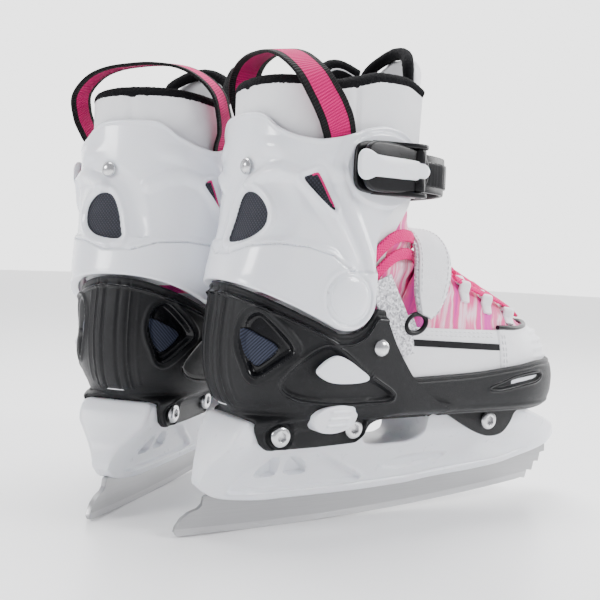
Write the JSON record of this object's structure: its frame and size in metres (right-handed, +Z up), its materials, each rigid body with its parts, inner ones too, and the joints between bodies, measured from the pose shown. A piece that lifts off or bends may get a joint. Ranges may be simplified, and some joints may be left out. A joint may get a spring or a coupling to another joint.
{
  "type": "ice skates",
  "caption": "Pair of adjustable ice skates: hinged white cuffs with a ratchet buckle, black heel and sliding toe shells, laced fabric uppers and steel blades in white holders.",
  "frame": {"origin": "centre of the pair on the ice, under the middle of its box", "axes": "+X forwards between the two toes, +Y towards the left skate, +Z up"},
  "size_m": [0.2629, 0.2698, 0.261],
  "materials": {
    "blade_steel": "satin ground steel",
    "holder_white": "moulded, semi-gloss",
    "shell_black": "moulded with a fine grain",
    "bolt_steel": "bright plated steel",
    "cuff_white": "moulded, glossy",
    "lining_black": "brushed fleece",
    "liner_white": "padded and laminated",
    "vamp_fabric": "dyed pink and white, fine weave",
    "upper_white": "stitched synthetic leather",
    "lace_pink": "braided lace",
    "strap_felt": "soft felted strap",
    "webbing_pink": "ribbed webbing",
    "buckle_black": "moulded, satin"
  },
  "bodies": {
    "right_skate": {"right_blade": "blade_steel", "right_blade_holder": "holder_white", "right_heel_shell": "shell_black", "right_rear_bolt": "bolt_steel", "right_mid_bolt": "bolt_steel", "right_side_rivet_outer": "bolt_steel", "right_side_rivet_inner": "bolt_steel", "right_side_badge": "cuff_white", "right_insole": "lining_black", "right_foot_liner": "liner_white"},
    "right_toe": {"right_toe_shell": "shell_black", "right_front_bolt": "bolt_steel", "right_vamp": "vamp_fabric", "right_toe_cap": "upper_white", "right_laces": "lace_pink", "right_instep_strap": "strap_felt", "right_strap_ring": "buckle_black"},
    "right_cuff": {"right_cuff": "cuff_white", "right_pivot_cap_outer": "cuff_white", "right_pivot_cap_inner": "cuff_white", "right_back_rivet": "bolt_steel", "right_ankle_liner": "liner_white", "right_tongue": "liner_white", "right_pull_loop": "webbing_pink", "right_buckle_base": "buckle_black", "right_ladder_strap": "buckle_black", "right_strap_rivet": "bolt_steel"},
    "right_lever": {"right_buckle_lever": "buckle_black", "right_lever_inlay": "cuff_white"},
    "right_button": {"right_size_button": "holder_white"},
    "left_skate": {"left_blade": "blade_steel", "left_blade_holder": "holder_white", "left_heel_shell": "shell_black", "left_rear_bolt": "bolt_steel", "left_mid_bolt": "bolt_steel", "left_side_rivet_outer": "bolt_steel", "left_side_rivet_inner": "bolt_steel", "left_side_badge": "cuff_white", "left_insole": "lining_black", "left_foot_liner": "liner_white"},
    "left_toe": {"left_toe_shell": "shell_black", "left_front_bolt": "bolt_steel", "left_vamp": "vamp_fabric", "left_toe_cap": "upper_white", "left_laces": "lace_pink", "left_instep_strap": "strap_felt", "left_strap_ring": "buckle_black"},
    "left_cuff": {"left_cuff": "cuff_white", "left_pivot_cap_outer": "cuff_white", "left_pivot_cap_inner": "cuff_white", "left_back_rivet": "bolt_steel", "left_ankle_liner": "liner_white", "left_tongue": "liner_white", "left_pull_loop": "webbing_pink", "left_buckle_base": "buckle_black", "left_ladder_strap": "buckle_black", "left_strap_rivet": "bolt_steel"},
    "left_lever": {"left_buckle_lever": "buckle_black", "left_lever_inlay": "cuff_white"},
    "left_button": {"left_size_button": "holder_white"}
  },
  "joints": [
    {"name": "right_cuff_flex", "type": "hinge", "parent": "right_skate", "child": "right_cuff", "pos_m": [-0.05235, -0.0492, 0.1233], "axis": [0.3517, 0.9361, 0], "range_deg": [0, 15]},
    {"name": "right_toe_size", "type": "slide", "parent": "right_skate", "child": "right_toe", "axis": [0.9361, -0.3517, 0], "range_m": [0, 0.02]},
    {"name": "right_button_press", "type": "slide", "parent": "right_skate", "child": "right_button", "axis": [0.3517, 0.9361, 0], "range_m": [0, 0.003], "stiffness_N_per_m": 400, "springref_m": -0.002},
    {"name": "right_lever_open", "type": "hinge", "parent": "right_cuff", "child": "right_lever", "pos_m": [-0.03787, -0.10911, 0.188], "axis": [0, 0, 1], "range_deg": [0, 110]},
    {"name": "left_cuff_flex", "type": "hinge", "parent": "left_skate", "child": "left_cuff", "pos_m": [-0.06615, 0.0492, 0.1233], "axis": [-0.3517, 0.9361, 0], "range_deg": [0, 15]},
    {"name": "left_toe_size", "type": "slide", "parent": "left_skate", "child": "left_toe", "axis": [0.9361, 0.3517, 0], "range_m": [0, 0.02]},
    {"name": "left_button_press", "type": "slide", "parent": "left_skate", "child": "left_button", "axis": [0.3517, -0.9361, 0], "range_m": [0, 0.003], "stiffness_N_per_m": 400, "springref_m": -0.002},
    {"name": "left_lever_open", "type": "hinge", "parent": "left_cuff", "child": "left_lever", "pos_m": [-0.05167, 0.10911, 0.188], "axis": [0, 0, -1], "range_deg": [0, 110]},
    {"name": "pair_apart", "type": "slide", "parent": "right_skate", "child": "left_skate", "axis": [0, 1, 0], "range_m": [0, 0.2]}
  ]
}
